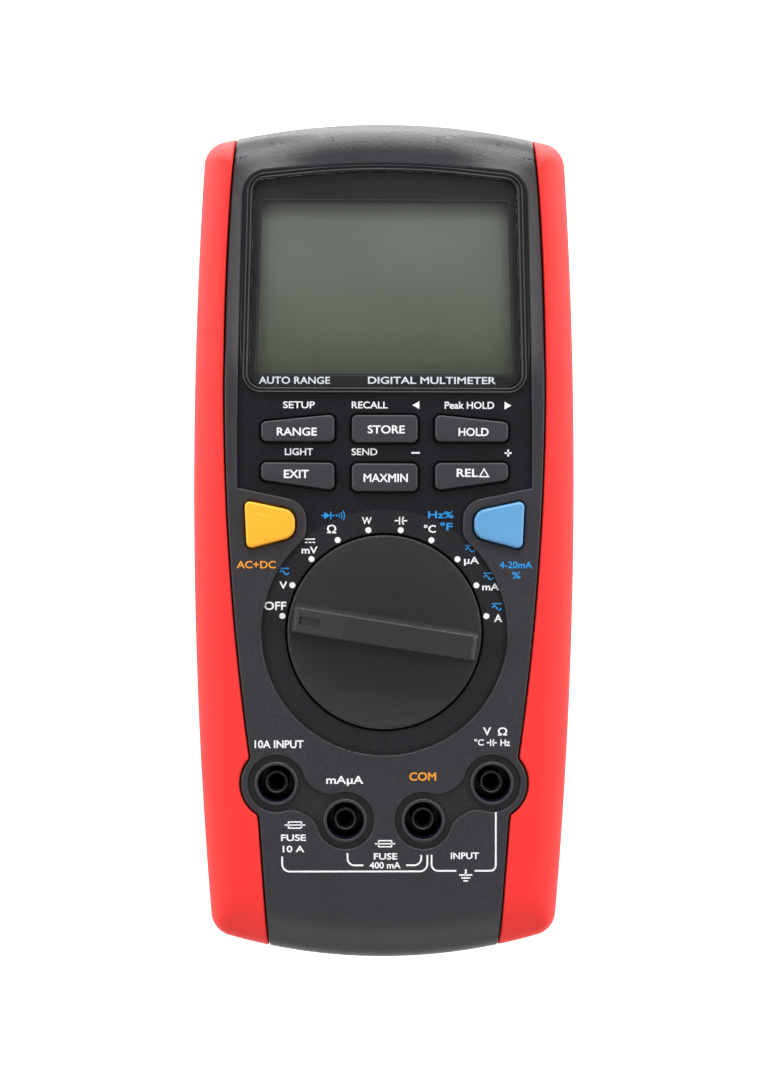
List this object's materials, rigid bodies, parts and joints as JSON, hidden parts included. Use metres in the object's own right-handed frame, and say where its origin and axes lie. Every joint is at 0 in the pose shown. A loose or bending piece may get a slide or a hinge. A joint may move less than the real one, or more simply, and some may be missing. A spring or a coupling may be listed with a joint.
{
  "type": "handheld digital multimeter",
  "caption": "Handheld multimeter with a large display, rubber keys, a rotary selector, shrouded 4 mm input sockets, soft side grips and a folding stand.",
  "frame": {"origin": "centre of the meter's outline, on the plane that its back rests on", "axes": "+X to the reader's right, +Y towards the display end, +Z out through the face"},
  "size_m": [0.0822, 0.18, 0.04],
  "materials": {
    "shell_black": "fine spark-eroded texture, satin",
    "shell_rear": "moulded texture, satin",
    "grip_red": "soft-touch, fine grain",
    "steel": "zinc plated",
    "lens_clear": "polished clear plastic",
    "mask_black": "printed film behind the lens",
    "lcd_glass": "grey-green liquid crystal glass",
    "white_plastic": "natural moulded plastic",
    "silicone_dark": "layered contact rubber",
    "silicone_grey": "translucent silicone",
    "board_green": "solder mask",
    "socket_metal": "turned, nickel flash",
    "fuse_ceramic": "ceramic tube with plated caps",
    "shunt_copper": "drawn resistance alloy",
    "absorber_blue": "dipped epoxy",
    "tin_plate": "tinned sheet",
    "chip_black": "moulded epoxy",
    "capacitor_sleeve": "shrink sleeve",
    "battery_case": "plain lacquered can",
    "lead_red": "PVC insulation",
    "lead_black": "PVC insulation",
    "foam": "closed-cell foam",
    "window_red": "infrared pass plastic",
    "knob_black": "satin moulded plastic",
    "contact_brass": "stamped spring strip",
    "key_grey": "fine satin",
    "button_yellow": "fine satin",
    "button_blue": "fine satin"
  },
  "bodies": {
    "meter_body": {"front_case": "shell_black", "rear_case": "shell_rear", "front_grip_left": "grip_red", "front_grip_right": "grip_red", "rear_grip_left": "grip_red", "rear_grip_right": "grip_red", "case_screws": "steel", "display_lens": "lens_clear", "display_mask": "mask_black", "lcd_panel": "lcd_glass", "lcd_backlight": "white_plastic", "lcd_frame": "white_plastic", "contact_strip": "silicone_dark", "keypad_membrane": "silicone_grey", "detent_ring": "white_plastic", "main_board": "board_green", "board_screws": "steel", "socket_10a": "socket_metal", "socket_ma": "socket_metal", "socket_com": "socket_metal", "socket_v": "socket_metal", "fuse_10a": "fuse_ceramic", "fuse_ma": "fuse_ceramic", "fuse_clips": "steel", "current_shunt": "shunt_copper", "surge_absorbers": "absorber_blue", "shield_plate": "tin_plate", "board_chips": "chip_black", "capacitors": "capacitor_sleeve", "buzzer": "chip_black", "battery_9v": "battery_case", "battery_snap": "chip_black", "lead_red": "lead_red", "lead_black": "lead_black", "battery_pad": "foam", "battery_door": "shell_rear", "door_screws": "steel", "data_window": "window_red", "data_diodes": "chip_black"},
    "selector": {"rotary_knob": "knob_black", "knob_screw": "steel", "switch_rotor": "white_plastic", "rotor_contacts": "contact_brass", "detent_balls": "steel", "detent_springs": "steel"},
    "key_range": {"button_range": "key_grey"},
    "key_store": {"button_store": "key_grey"},
    "key_hold": {"button_hold": "key_grey"},
    "key_exit": {"button_exit": "key_grey"},
    "key_maxmin": {"button_maxmin": "key_grey"},
    "key_rel": {"button_rel": "key_grey"},
    "key_yellow": {"button_yellow": "button_yellow"},
    "key_blue": {"button_blue": "button_blue"},
    "stand": {"tilt_stand": "shell_rear"}
  },
  "joints": [
    {"name": "selector_turn", "type": "hinge", "parent": "meter_body", "child": "selector", "pos_m": [0, -0.0196, 0.033], "axis": [0, 0, -1], "range_deg": [0, 162]},
    {"name": "press_range", "type": "slide", "parent": "meter_body", "child": "key_range", "axis": [0, 0, -1], "range_m": [0, 0.0008], "stiffness_N_per_m": 600, "springref_m": -0.001},
    {"name": "press_store", "type": "slide", "parent": "meter_body", "child": "key_store", "axis": [0, 0, -1], "range_m": [0, 0.0008], "stiffness_N_per_m": 600, "springref_m": -0.001},
    {"name": "press_hold", "type": "slide", "parent": "meter_body", "child": "key_hold", "axis": [0, 0, -1], "range_m": [0, 0.0008], "stiffness_N_per_m": 600, "springref_m": -0.001},
    {"name": "press_exit", "type": "slide", "parent": "meter_body", "child": "key_exit", "axis": [0, 0, -1], "range_m": [0, 0.0008], "stiffness_N_per_m": 600, "springref_m": -0.001},
    {"name": "press_maxmin", "type": "slide", "parent": "meter_body", "child": "key_maxmin", "axis": [0, 0, -1], "range_m": [0, 0.0008], "stiffness_N_per_m": 600, "springref_m": -0.001},
    {"name": "press_rel", "type": "slide", "parent": "meter_body", "child": "key_rel", "axis": [0, 0, -1], "range_m": [0, 0.0008], "stiffness_N_per_m": 600, "springref_m": -0.001},
    {"name": "press_yellow", "type": "slide", "parent": "meter_body", "child": "key_yellow", "axis": [0, 0, -1], "range_m": [0, 0.001], "stiffness_N_per_m": 600, "springref_m": -0.001},
    {"name": "press_blue", "type": "slide", "parent": "meter_body", "child": "key_blue", "axis": [0, 0, -1], "range_m": [0, 0.001], "stiffness_N_per_m": 600, "springref_m": -0.001},
    {"name": "stand_fold", "type": "hinge", "parent": "meter_body", "child": "stand", "pos_m": [0, 0.003, 0.002], "axis": [1, 0, 0], "range_deg": [0, 65]}
  ]
}
